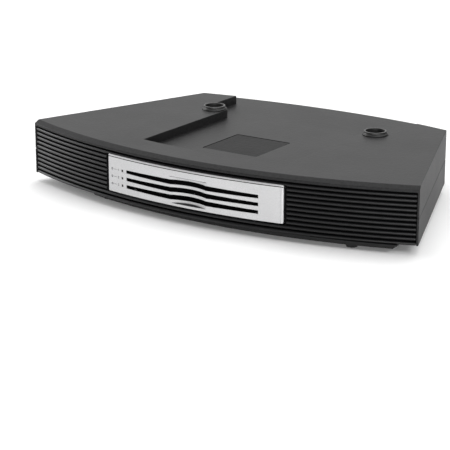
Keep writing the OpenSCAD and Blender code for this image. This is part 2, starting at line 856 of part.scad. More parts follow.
module play_arm() {
    color(steel) difference() {
        union() {
            block(hub[0], pivot[0], pivot[1] - arm_half_w, pivot[1] + arm_half_w, arm_z, arm_top_z);
            translate([hub[0], pivot[1], arm_z]) cylinder(r = 18, h = arm_t);
            translate([pivot[0], pivot[1], arm_z]) cylinder(r = 9, h = 17);
            for (x = [rod_x0, rod_x1 - 2]) for (side = [-1, 1])
                block(x, x + 2, pivot[1] + side * rod_y - 2, pivot[1] + side * rod_y + 2, arm_z, rod_z + 2);
            for (side = [-1, 1])
                block(clamp_pin_x - 2.5, pivot[0], pivot[1] + side * 8 - 1, pivot[1] + side * 8 + 1, 30, 37);
        }
        translate([pivot[0], pivot[1], 0]) cylinder(r = post_r + run_gap, h = deck_z);
        translate([hub[0], pivot[1], 0]) cylinder(r = 1.6, h = deck_z);
        for (side = [-1, 1]) x_cylinder(rod_x0 - 1, rod_x1 + 1, pivot[1] + side * rod_y, rod_z, rod_r);
        translate([clamp_pin_x, pivot[1] + 12, clamp_z + clamp_t / 2]) rotate([90, 0, 0])
            cylinder(r = 1 + run_gap, h = 24);
        block(hub[0] + 16, hub[0] + 62, pivot[1] - 5, pivot[1] + 5, arm_z - cut, arm_top_z + cut);
    }
}

module guide_rods() {
    color(steel) for (side = [-1, 1])
        x_cylinder(rod_x0, rod_x1, pivot[1] + side * rod_y, rod_z, rod_r);
}

module spindle_motor() {
    color(steel) translate([hub[0], hub[1], 0]) difference() {
        union() {
            translate([0, 0, arm_z - 2.8]) cylinder(r = 11, h = 2.8);
            translate([0, 0, arm_z - 0.1]) cylinder(r = 1.6, h = 0.1 + arm_t + 0.8);
        }
        translate([0, 0, arm_z - 1.5]) cylinder(r = 1 + run_gap, h = 6);
    }
}

module turntable() {
    color(black) translate([hub[0], hub[1], 0]) {
        translate([0, 0, arm_z - 1]) cylinder(r = 1, h = 6);
        translate([0, 0, 24.4]) cylinder(r = 11.8, h = 2.1);
        translate([0, 0, 26.5]) cylinder(r1 = 7.4, r2 = 6.6, h = 1.5);
    }
}

module pickup_sled() {
    color(black) difference() {
        block(sled_x0, sled_x0 + sled_len, pivot[1] - rod_y - 3, pivot[1] + rod_y + 3, sled_z0, sled_z1);
        for (side = [-1, 1])
            x_cylinder(sled_x0 - 1, sled_x0 + sled_len + 1, pivot[1] + side * rod_y, rod_z,
                       rod_r + run_gap);
        x_cylinder(sled_x0 - 1, sled_x0 + sled_len + 1, pivot[1] + sled_screw_y, rod_z,
                   sled_screw_r + run_gap);
        translate([lens_x, pivot[1], 24.4]) cylinder(r = 3.4, h = 3);
    }
}

module pickup_lens() {
    color([0.2, 0.3, 0.5]) translate([lens_x, pivot[1], 24.4]) {
        cylinder(r = 3.3, h = 1.2);
        translate([0, 0, 1.2]) cylinder(r = 2, h = 0.6);
    }
}

module sled_screw() {
    color(steel) x_cylinder(sled_x0 - 0.6, rod_x1 + 4, pivot[1] + sled_screw_y, rod_z, sled_screw_r);
}

module sled_motor() {
    color(steel) difference() {
        union() {
            x_cylinder(rod_x1 + 0.5, rod_x1 + 9, pivot[1] + sled_screw_y, rod_z + 0.6, 3.4);
            block(rod_x1 + 0.5, rod_x1 + 9, pivot[1] + sled_screw_y - 3, pivot[1] + sled_screw_y + 3,
                  arm_top_z, rod_z);
        }
        x_cylinder(rod_x1 - 1, rod_x1 + 5, pivot[1] + sled_screw_y, rod_z, sled_screw_r + run_gap);
    }
}

module clamp_arm() {
    color(steel) difference() {
        union() {
            block(hub[0], clamp_pin_x, pivot[1] - 6, pivot[1] + 6, clamp_z, clamp_z + clamp_t);
            translate([hub[0], pivot[1], clamp_z]) cylinder(r = 11, h = clamp_t);
            translate([clamp_pin_x, pivot[1] + 6.5, clamp_z + clamp_t / 2]) rotate([90, 0, 0])
                cylinder(r = 1.8, h = 13);
            translate([clamp_pin_x, pivot[1] + 9.5, clamp_z + clamp_t / 2]) rotate([90, 0, 0])
                cylinder(r = 1, h = 19);
        }
        translate([hub[0], pivot[1], clamp_z - 1]) cylinder(r = puck_stem_r + run_gap, h = 4);
    }
}

module clamp_puck() {
    color(black) translate([hub[0], hub[1], 0]) {
        translate([0, 0, 30]) difference() {
            cylinder(r = 12, h = 3);
            translate([0, 0, -cut]) cylinder(r = 8, h = 1.6);
        }
        translate([0, 0, 33]) cylinder(r = puck_stem_r, h = 2.4);
        translate([0, 0, 35.1]) cylinder(r = 3.4, h = 0.8);
    }
}

// --- Electronics

module main_board() {
    color(board_green) {
        block(104, 148, -74, 6, 14, 15.6);
        for (x = [108, 144], y = [-70, 2]) translate([x, y, tray_floor_z]) cylinder(r = 2.5, h = 5.1);
    }
    color(black) {
        block(116, 130, -48, -34, 15.6, 17.2);
        block(112, 120, -22, -8, 15.6, 17.4);
        block(106, 110, -64, -48, 15.6, 22);
        for (y = [-66:9:-30]) translate([140, y, 15.6]) cylinder(r = 3, h = 11);
    }
}

module power_supply() {
    color(board_green) {
        block(-148, -104, -74, 6, 14, 15.6);
        for (x = [-144, -108], y = [-70, 2]) translate([x, y, tray_floor_z]) cylinder(r = 2.5, h = 5.1);
    }
    color(black) {
        block(-142, -112, -58, -30, 15.6, 36);
        block(-138, -116, -62, -26, 18, 33);
        for (y = [-18:8:0]) translate([-118, y, 15.6]) cylinder(r = 3.2, h = 14);
    }
}

module led_board() {
    color(board_green) block(-80, -65.9, led_board_y, led_board_y + 1.6, 15, 41);
    color("white") for (i = [0:2])
        block(led_x - 0.8, led_x + 0.8, led_board_y - 0.6, led_board_y,
              slot_z_at(i) - 0.8, slot_z_at(i) + 0.8);
}

// Flat cable from the lamp board, under the chassis plate, to the main board
ribbon_t = 0.6;
ribbon_x = [-79, -71.6];
ribbon_y = [-64, -56];
ribbon_z = tray_floor_z + 0.2;
ribbon_up_x = 103;

module ribbon_cable() {
    y0 = led_board_y + 1.6;
    z0 = 15.2;
    color([0.75, 0.75, 0.72]) {
        block(ribbon_x[0], ribbon_x[1], y0, -91.4, z0, z0 + ribbon_t);
        block(ribbon_x[0], ribbon_x[1], -92, -91.4, ribbon_z, z0 + ribbon_t);
        block(ribbon_x[0], ribbon_x[1], -92, ribbon_y[1], ribbon_z, ribbon_z + ribbon_t);
        block(ribbon_x[0], ribbon_up_x, ribbon_y[0], ribbon_y[1], ribbon_z, ribbon_z + ribbon_t);
        block(ribbon_up_x - ribbon_t, ribbon_up_x, ribbon_y[0], ribbon_y[1], ribbon_z, 20);
        block(ribbon_up_x - ribbon_t, 106, ribbon_y[0], ribbon_y[1], 20 - ribbon_t, 20);
    }
}

top_cover();
base_tray();
plinth();
front_grille();
front_panel();
status_lenses();
cup_left();
cup_right();
service_cover();
feet();
base_screws();
rear_panel();
link_sockets();
power_inlet();
chassis();
bearing_plate();
slot_frame();
slot_flap_1();
slot_flap_2();
slot_flap_3();
roller_shaft_1();
roller_shaft_2();
roller_shaft_3();
roller_sleeve_1();
roller_sleeve_2();
roller_sleeve_3();
loading_motor();
loading_pulley();
loading_belt();
disc_shelf_1();
disc_shelf_2();
disc_shelf_3();
lead_screw_1();
lead_screw_2();
lead_screw_3();
lead_screw_4();
shelf_motor();
shelf_pulley();
shelf_belt();
pivot_post();
play_arm();
guide_rods();
spindle_motor();
turntable();
pickup_sled();
pickup_lens();
sled_screw();
sled_motor();
clamp_arm();
clamp_puck();
main_board();
power_supply();
led_board();
ribbon_cable();
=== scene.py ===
"""Looks of a docking compact-disc changer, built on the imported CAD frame.

Lengths are metres in the CAD frame: +X right, +Y rear, +Z up, with the origin on the
table under the middle of the body.
"""
import math

import bmesh
import bpy
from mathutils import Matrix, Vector


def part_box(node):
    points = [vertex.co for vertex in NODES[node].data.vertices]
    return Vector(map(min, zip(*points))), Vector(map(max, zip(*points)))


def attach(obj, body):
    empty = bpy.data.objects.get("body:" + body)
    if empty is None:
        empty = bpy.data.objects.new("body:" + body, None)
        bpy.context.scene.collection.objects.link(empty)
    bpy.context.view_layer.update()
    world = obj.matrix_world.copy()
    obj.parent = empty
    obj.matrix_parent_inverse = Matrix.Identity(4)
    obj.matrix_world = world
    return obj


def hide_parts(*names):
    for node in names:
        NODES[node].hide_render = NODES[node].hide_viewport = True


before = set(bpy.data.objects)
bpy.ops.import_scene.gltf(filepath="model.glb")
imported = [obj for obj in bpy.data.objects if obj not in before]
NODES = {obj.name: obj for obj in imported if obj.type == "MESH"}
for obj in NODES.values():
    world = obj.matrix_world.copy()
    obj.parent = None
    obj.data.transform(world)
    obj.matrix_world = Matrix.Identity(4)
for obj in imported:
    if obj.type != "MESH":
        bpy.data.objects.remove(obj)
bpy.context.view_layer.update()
MM = 0.001


# --- Node helpers ---------------------------------------------------------

class Shader:
    """A material under construction, with short ways to add and join nodes."""

    def __init__(self, name):
        self.mat = bpy.data.materials.new(name)
        self.mat.use_nodes = True
        self.tree = self.mat.node_tree
        self.bsdf = self.tree.nodes["Principled BSDF"]
        self.coords = self.tree.nodes.new("ShaderNodeTexCoord").outputs["Object"]

    def node(self, kind, **settings):
        made = self.tree.nodes.new("ShaderNode" + kind)
        for key, value in settings.items():
            setattr(made, key, value)
        return made

    def link(self, a, b):
        self.tree.links.new(a, b)

    def scaled(self, scale):
        mapping = self.node("Mapping")
        mapping.inputs["Scale"].default_value = scale
        self.link(self.coords, mapping.inputs["Vector"])
        return mapping.outputs["Vector"]

    def noise(self, scale, detail=3.0, rough=0.5, vector=None):
        tex = self.node("TexNoise")
        tex.inputs["Scale"].default_value = scale
        tex.inputs["Detail"].default_value = detail
        tex.inputs["Roughness"].default_value = rough
        self.link(vector or self.coords, tex.inputs["Vector"])
        return tex.outputs["Fac"]

    def cells(self, scale, vector=None):
        tex = self.node("TexVoronoi")
        tex.inputs["Scale"].default_value = scale
        self.link(vector or self.coords, tex.inputs["Vector"])
        return tex.outputs["Distance"]

    def ramp(self, value, stops):
        """stops is a list of (place, colour or grey)."""
        ramp = self.node("ValToRGB")
        elements = ramp.color_ramp.elements
        while len(elements) < len(stops):
            elements.new(0.5)
        for element, (place, colour) in zip(elements, stops):
            element.position = place
            grey = (colour,) * 3 if isinstance(colour, (int, float)) else colour
            element.color = (*grey, 1)
        self.link(value, ramp.inputs["Fac"])
        return ramp.outputs["Color"]

    def between(self, value, low, high):
        remap = self.node("MapRange")
        remap.inputs["To Min"].default_value = low
        remap.inputs["To Max"].default_value = high
        self.link(value, remap.inputs["Value"])
        return remap.outputs["Result"]

    def math(self, operation, a, b):
        made = self.node("Math", operation=operation)
        for socket, value in zip(made.inputs, (a, b)):
            if isinstance(value, (int, float)):
                socket.default_value = value
            else:
                self.link(value, socket)
        return made.outputs["Value"]

    def average(self, a, b):
        return self.math("MULTIPLY", self.math("ADD", a, b), 0.5)

    def mix(self, factor, a, b, blend="MIX"):
        made = self.node("Mix", data_type="RGBA", blend_type=blend)
        for socket, value in zip((made.inputs[0], made.inputs[6], made.inputs[7]), (factor, a, b)):
            if isinstance(value, (int, float)):
                socket.default_value = value
            elif isinstance(value, tuple):
                socket.default_value = (*value, 1)
            else:
                self.link(value, socket)
        return made.outputs[2]

    def edges(self, radius, low=0.02, high=0.25):
        """1 along sharp edges, 0 on open faces."""
        bevel = self.node("Bevel", samples=4)
        bevel.inputs["Radius"].default_value = radius
        flat = self.node("NewGeometry")
        dot = self.node("VectorMath", operation="DOT_PRODUCT")
        self.link(bevel.outputs["Normal"], dot.inputs[0])
        self.link(flat.outputs["Normal"], dot.inputs[1])
        turn = self.math("SUBTRACT", 1.0, dot.outputs["Value"])
        remap = self.node("MapRange", interpolation_type="SMOOTHSTEP")
        remap.inputs["From Min"].default_value = low
        remap.inputs["From Max"].default_value = high
        self.link(turn, remap.inputs["Value"])
        return remap.outputs["Result"]

    def bump(self, height, distance, strength=1.0):
        bump = self.node("Bump")
        bump.inputs["Distance"].default_value = distance
        bump.inputs["Strength"].default_value = strength
        self.link(height, bump.inputs["Height"])
        self.link(bump.outputs["Normal"], self.bsdf.inputs["Normal"])

    def set(self, **inputs):
        """Constants or node outputs for the shader's own sockets."""
        for name, value in inputs.items():
            socket = self.bsdf.inputs[name.replace("_", " ")]
            if isinstance(value, (int, float)):
                socket.default_value = value
            elif isinstance(value, tuple):
                socket.default_value = (*value, 1)
            else:
                self.link(value, socket)


def moulded(name, colour, rough, grain=900, depth=0.00004, speckle=0.25, wear=0.3, spec=0.5):
    """Spark-textured moulded plastic: fine grain, faint clouding and paler edges."""
    s = Shader(name)
    fine = s.noise(grain, 2.0, 0.6)
    broad = s.noise(18, 3.0, 0.6)
    dark = tuple(c * (1 - speckle) for c in colour)
    pale = tuple(c * (1 + speckle) for c in colour)
    base = s.ramp(fine, [(0.32, dark), (0.5, colour), (0.68, pale)])
    clouded = s.mix(0.35, base, s.ramp(broad, [(0.3, 0.42), (0.7, 0.58)]), "OVERLAY")
    worn = tuple(min(1, c * 1.7 + 0.004) for c in colour)
    edge = s.math("MULTIPLY", s.edges(0.0005), s.between(s.noise(160, 2.0), wear * 0.4, wear * 1.6))
    s.set(Base_Color=s.mix(edge, clouded, worn), Specular_IOR_Level=spec)
    s.set(Roughness=s.between(s.average(fine, broad), rough - 0.1, rough + 0.1))
    s.bump(s.math("ADD", fine, s.math("MULTIPLY", s.cells(grain * 0.7), 0.5)), depth)
    return s.mat


def fascia_paint():
    """Silver paint with fine metal flake over a smooth moulding."""
    s = Shader("silver_paint")
    flake = s.noise(2600, 2.0, 0.7)
    cloud = s.noise(24, 3.0, 0.55)
    base = s.ramp(flake, [(0.30, (0.40, 0.40, 0.41)), (0.5, (0.50, 0.50, 0.505)),
                          (0.72, (0.61, 0.61, 0.61))])
    base = s.mix(0.25, base, s.ramp(cloud, [(0.3, 0.44), (0.7, 0.56)]), "OVERLAY")
    edge = s.math("MULTIPLY", s.edges(0.0002), s.between(s.noise(300, 2.0), 0.1, 0.5))
    s.set(Base_Color=s.mix(edge, base, (0.64, 0.64, 0.65)), Metallic=0.35)
    s.set(Roughness=s.between(s.average(flake, cloud), 0.34, 0.52))
    s.bump(flake, 0.000006)
    return s.mat


def soft_rubber(name, colour, rough=0.42):
    """Dark moulded rubber with a dull bloom and dust in its pores."""
    s = Shader(name)
    pores = s.noise(1200, 3.0, 0.65)
    bloom = s.noise(70, 4.0, 0.6)
    pale = tuple(c * 2.2 + 0.006 for c in colour)
    base = s.ramp(bloom, [(0.35, colour), (0.75, pale)])
    s.set(Base_Color=s.mix(s.between(pores, 0.0, 0.25), base, pale))
    s.set(Roughness=s.between(bloom, rough - 0.1, rough + 0.12))
    s.bump(pores, 0.00002)
    return s.mat


def sheet_steel(name, tone, rough, streak):
    """Rolled or turned steel: fine streaks across the given scale, dull patches, brighter edges."""
    s = Shader(name)
    lines = s.noise(60, 4.0, 0.7, s.scaled(streak))
    patches = s.noise(45, 3.0, 0.6)
    dark = tuple(c * 0.72 for c in tone)
    base = s.ramp(lines, [(0.3, dark), (0.7, tone)])
    base = s.mix(0.3, base, s.ramp(patches, [(0.3, 0.38), (0.7, 0.6)]), "OVERLAY")
    bright = tuple(min(1, c * 1.25) for c in tone)
    s.set(Base_Color=s.mix(s.math("MULTIPLY", s.edges(0.0004), 0.6), base, bright), Metallic=1.0)
    s.set(Roughness=s.between(s.average(lines, patches), rough - 0.1, rough + 0.14))
    s.bump(lines, 0.00001)
    return s.mat


def circuit_board():
    """Green solder mask over faint copper tracks on a square grid."""
    s = Shader("circuit_board")
    grid = s.node("TexBrick", offset=0.5)
    for socket, value in (("Scale", 90.0), ("Mortar Size", 0.05), ("Brick Width", 1.1),
                          ("Row Height", 0.35)):
        grid.inputs[socket].default_value = value
    s.link(s.coords, grid.inputs["Vector"])
    tracks = s.math("MULTIPLY", grid.outputs["Fac"], s.math("GREATER_THAN", s.noise(140, 1.0), 0.52))
    mask = s.ramp(s.noise(220, 3.0), [(0.3, (0.006, 0.060, 0.022)), (0.7, (0.010, 0.085, 0.032))])
    s.set(Base_Color=s.mix(tracks, mask, (0.03, 0.17, 0.06)))
    s.set(Roughness=s.between(s.noise(300, 2.0), 0.25, 0.45))
    s.bump(tracks, 0.00002)
    return s.mat


def flat_cable():
    """Flat cable: pale ribbed insulation, one line to each wire."""
    s = Shader("flat_cable")
    wave = s.node("TexWave", bands_direction="Y", wave_profile="SIN")
    wave.inputs["Scale"].default_value = 160.0
    wave.inputs["Distortion"].default_value = 0.1
    s.link(s.coords, wave.inputs["Vector"])
    s.set(Base_Color=s.ramp(wave.outputs["Fac"], [(0.1, (0.32, 0.32, 0.30)), (0.9, (0.60, 0.60, 0.57))]))
    s.set(Roughness=s.between(s.noise(200, 2.0), 0.35, 0.5))
    s.bump(wave.outputs["Fac"], 0.00005)
    return s.mat


def coated_glass():
    """Pickup lens: dark glass with a blue-violet coating."""
    s = Shader("coated_glass")
    tint = s.ramp(s.noise(500, 2.0), [(0.3, (0.03, 0.05, 0.16)), (0.7, (0.07, 0.04, 0.20))])
    s.set(Base_Color=tint, Coat_Weight=1.0)
    s.set(Roughness=s.between(s.noise(900, 2.0), 0.04, 0.10))
    return s.mat


def lamp_lens():
    """Unlit status lamp: smoked clear plastic."""
    s = Shader("smoked_lens")
    smoke = s.ramp(s.noise(900, 2.0), [(0.3, (0.010, 0.008, 0.008)), (0.7, (0.022, 0.016, 0.016))])
    s.set(Base_Color=smoke)
    s.set(Roughness=s.between(s.noise(1500, 2.0), 0.10, 0.22), Coat_Weight=0.4)
    return s.mat


def print_ink():
    """Grey printed marks, a little thin in places."""
    s = Shader("printed_grey")
    s.set(Base_Color=s.ramp(s.noise(1500, 2.0), [(0.35, (0.05, 0.05, 0.055)), (0.7, (0.09, 0.09, 0.095))]))
    s.set(Roughness=s.between(s.noise(900, 2.0), 0.5, 0.65))
    return s.mat


GRAPHITE = moulded("graphite_plastic", (0.0128, 0.0128, 0.0132), 0.5,
                   grain=520, depth=0.00010, speckle=0.28, spec=0.17)
DOOR = moulded("service_door_plastic", (0.0073, 0.0073, 0.0075), 0.58, grain=420, depth=0.00018, spec=0.1)
BLACK = moulded("black_plastic", (0.0055, 0.0055, 0.006), 0.36, grain=1400, depth=0.00002, spec=0.32)
# Near-black with almost no gloss, darker than the real black parts: painted shade for the gaps behind the
# grille bars, the slots and their flaps, the fascia's openings and grooves, and the line round the service
# door.
PAINTED_SHADE_BLACK = moulded("near_black_painted_shade", (0.0012, 0.0012, 0.0013), 0.8, grain=1000, wear=0.0, spec=0.06)
PLINTH = moulded("skirt_plastic", (0.004, 0.004, 0.0043), 0.55, grain=1200, depth=0.00003, spec=0.25)
INNER = moulded("inner_black_plastic", (0.0045, 0.0045, 0.005), 0.5, grain=1100, wear=0.1, spec=0.3)
SILVER = fascia_paint()
RUBBER = soft_rubber("black_rubber", (0.006, 0.006, 0.006))
BELT = soft_rubber("belt_rubber", (0.010, 0.010, 0.010), 0.6)
STEEL = sheet_steel("galvanised_sheet", (0.52, 0.53, 0.54), 0.38, (1, 14, 14))
TURNED = sheet_steel("turned_steel", (0.60, 0.60, 0.61), 0.24, (40, 3, 3))
UPRIGHT_STEEL = sheet_steel("turned_steel_upright", (0.60, 0.60, 0.61), 0.26, (3, 3, 40))
BOARD = circuit_board()
CABLE = flat_cable()
GLASS = coated_glass()
LENS = lamp_lens()
INK = print_ink()

LOOKS = {
    # The grille backing, slot frame and slot flaps take the near-black painted shade, which darkens the
    # gaps between the bars and the insides of the slots.
    "front_grille": PAINTED_SHADE_BLACK, "plinth": PLINTH,
    "rear_panel": BLACK, "link_sockets": INNER, "power_inlet": INNER,
    "base_screws": UPRIGHT_STEEL, "chassis": STEEL, "bearing_plate": STEEL, "slot_frame": PAINTED_SHADE_BLACK,
    "slot_flap_1": PAINTED_SHADE_BLACK, "slot_flap_2": PAINTED_SHADE_BLACK, "slot_flap_3": PAINTED_SHADE_BLACK,
    "roller_shaft_1": TURNED, "roller_shaft_2": TURNED, "roller_shaft_3": TURNED,
    "roller_sleeve_1": RUBBER, "roller_sleeve_2": RUBBER, "roller_sleeve_3": RUBBER,
    "loading_motor": STEEL, "loading_pulley": TURNED, "loading_belt": BELT,
    "disc_shelf_1": INNER, "disc_shelf_2": INNER, "disc_shelf_3": INNER,
    "lead_screw_1": UPRIGHT_STEEL, "lead_screw_2": UPRIGHT_STEEL,
    "lead_screw_3": UPRIGHT_STEEL, "lead_screw_4": UPRIGHT_STEEL,
    "shelf_motor": STEEL, "shelf_pulley": UPRIGHT_STEEL, "shelf_belt": BELT, "pivot_post": UPRIGHT_STEEL,
    "play_arm": STEEL, "guide_rods": TURNED, "spindle_motor": STEEL, "turntable": INNER,
    "pickup_sled": INNER, "pickup_lens": GLASS, "sled_screw": TURNED, "sled_motor": STEEL,
    "clamp_arm": STEEL, "clamp_puck": INNER, "main_board": BOARD, "power_supply": BOARD,
    "led_board": BOARD, "ribbon_cable": CABLE,
}


def dress_cad_nodes():
    for name, material in LOOKS.items():
        for slot in NODES[name].material_slots:
            slot.material = material


# --- Mesh helpers ----------------------------------------------------------

def shade(mesh, sharp_angle):
    """Smooth shading, split along edges that turn by more than sharp_angle degrees."""
    bm = bmesh.new()
    bm.from_mesh(mesh)
    for face in bm.faces:
        face.smooth = True
    for edge in bm.edges:
        edge.smooth = len(edge.link_faces) == 2 and edge.calc_face_angle(0) < math.radians(sharp_angle)
    bm.to_mesh(mesh)
    bm.free()


def to_mesh(name, bm, sharp_angle):
    """The finished bmesh as a mesh, smooth shaded if a sharp angle is given."""
    mesh = bpy.data.meshes.new(name)
    bm.to_mesh(mesh)
    bm.free()
    if sharp_angle:
        shade(mesh, sharp_angle)
    return mesh


def add_piece(name, mesh, material):
    piece = bpy.data.objects.new(name, mesh)
    bpy.context.scene.collection.objects.link(piece)
    mesh.materials.append(material)
    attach(piece, "case")
    return piece


def rounded(name, node, radius, material, segments=2):
    """A copy of a CAD node with its sharp edges rounded, which stands for the node."""
    bm = bmesh.new()
    bm.from_mesh(NODES[node].data)
    bmesh.ops.remove_doubles(bm, verts=bm.verts, dist=0.005 * MM)
    bmesh.ops.dissolve_limit(bm, angle_limit=math.radians(0.6), verts=bm.verts, edges=bm.edges)
    sharp = [e for e in bm.edges if len(e.link_faces) == 2 and e.calc_face_angle(0) > math.radians(28)]
    bmesh.ops.bevel(bm, geom=sharp, offset=radius, offset_type="OFFSET", segments=segments,
                    profile=0.5, affect="EDGES", clamp_overlap=False)
    piece = add_piece(name, to_mesh(name, bm, 40), material)
    weighted = piece.modifiers.new("weighted", "WEIGHTED_NORMAL")
    weighted.keep_sharp = True
    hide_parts(node)
    return piece


# --- Casing ----------------------------------------------------------------

FRONT_RADIUS = 480 * MM
FRONT_CENTRE_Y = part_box("top_cover")[0].y + FRONT_RADIUS
BAR_COUNT = 11
BAR_PITCH = 3.72 * MM
BAR_RADIUS = 1.26 * MM
BAR_TOP_Z = 45.5 * MM
BAR_SET_BACK = 0.5 * MM
BAR_CORE_RADIUS = 1.2 * MM
BAR_END_INSET = 1.2 * MM
FASCIA_GAP = 2.4 * MM
SLOT_ZS = [33.65 * MM, 27.45 * MM, 21.25 * MM]
SLOT_HALF_H = 1.95 * MM
SLOT_HALF_W = 62.8 * MM
TOP_LINE_INSET = 1.58 * MM
SCOOP_LINE_Z = 38.17 * MM
SCOOP_FLOOR_Z = 16.6 * MM
SCOOP_HALF_W = 17.6 * MM


def paint_shade_in_openings(fascia):
    """Painted shade: near-black on the walls of the disc slots, in the lamp holes and in the fine grooves,
    and black on the scoop's floor.
    """
    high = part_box("front_panel")[1]
    lens_low, lens_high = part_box("status_lenses")
    line_z, line_end_x = high.z - TOP_LINE_INSET, high.x - TOP_LINE_INSET
    fascia.data.materials.append(PAINTED_SHADE_BLACK)
    fascia.data.materials.append(BLACK)
    for face in fascia.data.polygons:
        place, normal = face.center, face.normal
        depth = FRONT_RADIUS - math.hypot(place.x, place.y - FRONT_CENTRE_Y)
        in_slot = (any(abs(place.z - z) < SLOT_HALF_H + 0.02 * MM for z in SLOT_ZS)
                   and abs(place.x) < SLOT_HALF_W + 0.1 * MM)
        at_slot_end = abs(normal.x) > 0.95 and abs(place.x) > 60 * MM
        slot_wall = in_slot and (abs(normal.z) > 0.95 or at_slot_end)
        in_lamp = (lens_low.x - 0.3 * MM < place.x < lens_high.x + 0.3 * MM
                   and depth > 0.25 * MM)
        top_line = abs(place.z - line_z) < 0.34 * MM and place.x < line_end_x + 0.34 * MM
        over_scoop = abs(place.x) < SCOOP_HALF_W
        scoop_line = over_scoop and abs(place.z - SCOOP_LINE_Z) < 0.2 * MM
        # Painted shade: near-black on the slot walls, in the lamp holes and in the fine grooves along the
        # top edge and over the scoop.
        if slot_wall or in_lamp or (depth > 0.15 * MM and (top_line or scoop_line)):
            face.material_index = 1
        # Painted shadow: the scoop's silver floor, which lies in the shadow of the slots, takes black
        # plastic.
        elif over_scoop and normal.z > 0.9 and abs(place.z - SCOOP_FLOOR_Z) < 1.0 * MM:
            face.material_index = 2


def paint_shade_in_service_gap(piece):
    """Painted shade: near-black on the upright faces of the open line around the service door."""
    low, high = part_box("service_cover")
    reach = 0.6 * MM
    piece.data.materials.append(PAINTED_SHADE_BLACK)
    for face in piece.data.polygons:
        place = face.center
        in_plan = (low.x - reach < place.x < high.x + reach
                   and low.y - reach < place.y < high.y + reach)
        # Painted shade: the upright faces inside the gap take the near-black material.
        if in_plan and abs(face.normal.z) < 0.6 and place.z < high.z + 0.5 * MM:
            face.material_index = 1


def build_casing():
    paint_shade_in_service_gap(rounded("cover", "top_cover", 0.4 * MM, GRAPHITE))
    rounded("tray", "base_tray", 0.35 * MM, GRAPHITE)
    paint_shade_in_service_gap(rounded("service_door", "service_cover", 0.15 * MM, DOOR))
    paint_shade_in_openings(rounded("fascia", "front_panel", 0.12 * MM, SILVER))
    rounded("left_cup", "cup_left", 0.35 * MM, RUBBER, segments=3)
    rounded("right_cup", "cup_right", 0.35 * MM, RUBBER, segments=3)
    rounded("rubber_feet", "feet", 0.5 * MM, RUBBER, segments=3)
    rounded("lamp_lenses", "status_lenses", 0.15 * MM, LENS)


# --- Grille bars -----------------------------------------------------------

def front_y(x, radius=FRONT_RADIUS):
    """Y of the bowed front at x."""
    return FRONT_CENTRE_Y - math.sqrt(radius * radius - x * x)


def bar_rings(x_from, x_to, z, floor_z, round_from, round_to):
    """Rings of points along one bar, from x_from to x_to, with domed ends where asked."""
    around, along = 24, 100
    spine = FRONT_RADIUS - BAR_SET_BACK - BAR_CORE_RADIUS
    span = [x_from + (x_to - x_from) * i / along for i in range(along + 1)]
    domes = [math.sin(math.radians(a)) for a in (90, 75, 60, 45, 30, 15)]
    dome = [(BAR_RADIUS * d, math.sqrt(max(0.0, 1 - d * d))) for d in domes]
    head = [(x_from - out, size) for out, size in dome] if round_from else []
    tail = [(x_to + out, size) for out, size in reversed(dome)] if round_to else []
    rings = []
    for x, size in head + [(x, 1.0) for x in span] + tail:
        ring = []
        for k in range(around):
            a = 2 * math.pi * k / around
            radius = spine + BAR_RADIUS * size * math.cos(a)
            height = max(z + BAR_RADIUS * size * math.sin(a), floor_z)
            turn = math.asin(x / spine)
            ring.append((radius * math.sin(turn), FRONT_CENTRE_Y - radius * math.cos(turn), height))
        rings.append(ring)
    return rings


def build_grille_bars():
    """The round fronts of the grille's bars. The CAD grille stays behind them as the dark backing,
    near-black as painted shade in the gaps.
    """
    fascia_low, fascia_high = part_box("front_panel")
    grille_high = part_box("front_grille")[1]
    end_x = grille_high.x - BAR_END_INSET
    gap_x = fascia_high.x + FASCIA_GAP
    bm = bmesh.new()
    for i in range(BAR_COUNT):
        z = BAR_TOP_Z - i * BAR_PITCH
        beside = fascia_low.z - BAR_RADIUS < z < fascia_high.z
        if beside:
            runs = [(-end_x, -gap_x, 0, True, False), (gap_x, end_x, 0, False, True)]
        elif i == 0:
            shelf = fascia_high.z + 0.2 * MM
            runs = [(-end_x, -gap_x, 0, True, False), (-gap_x, gap_x, shelf, False, False),
                    (gap_x, end_x, 0, False, True)]
        else:
            runs = [(-end_x, end_x, 0, True, True)]
        for x_from, x_to, floor_z, round_from, round_to in runs:
            rings = [[bm.verts.new(p) for p in ring]
                     for ring in bar_rings(x_from, x_to, z, floor_z, round_from, round_to)]
            for a, b in zip(rings, rings[1:]):
                for k in range(len(a)):
                    n = (k + 1) % len(a)
                    bm.faces.new((a[k], a[n], b[n], b[k]))
            bm.faces.new(rings[0])
            bm.faces.new(list(reversed(rings[-1])))
    bmesh.ops.remove_doubles(bm, verts=bm.verts, dist=0.0005 * MM)
    bmesh.ops.recalc_face_normals(bm, faces=bm.faces)
    add_piece("grille_bars", to_mesh("grille_bars", bm, 50), BLACK)


# --- Printed marks beside the lamps ----------------------------------------

RING_INSET = 4.6 * MM
RING_STEPS = 20
RING_OUTER, RING_INNER = 0.98, 0.45
DASH_FROM, DASH_TO, DASH_HALF_W = 2.2 * MM, 4.9 * MM, 0.17 * MM
DIGIT_OFFSET = 6.9
DIGIT_HALF_W = 0.19 * MM
INK_FRONT, INK_BACK = 0.035 * MM, -0.03 * MM
STROKES = {
    1: [((-0.35, 0.45), (0.0, 0.8)), ((0.0, 0.8), (0.0, -0.8))],
    2: [((-0.45, 0.45), (-0.2, 0.8)), ((-0.2, 0.8), (0.25, 0.8)), ((0.25, 0.8), (0.45, 0.4)),
        ((0.45, 0.4), (-0.45, -0.8)), ((-0.45, -0.8), (0.5, -0.8))],
    3: [((-0.45, 0.8), (0.45, 0.8)), ((0.45, 0.8), (0.0, 0.1)), ((0.0, 0.1), (0.45, -0.35)),
        ((0.45, -0.35), (0.15, -0.8)), ((0.15, -0.8), (-0.45, -0.7))],
}


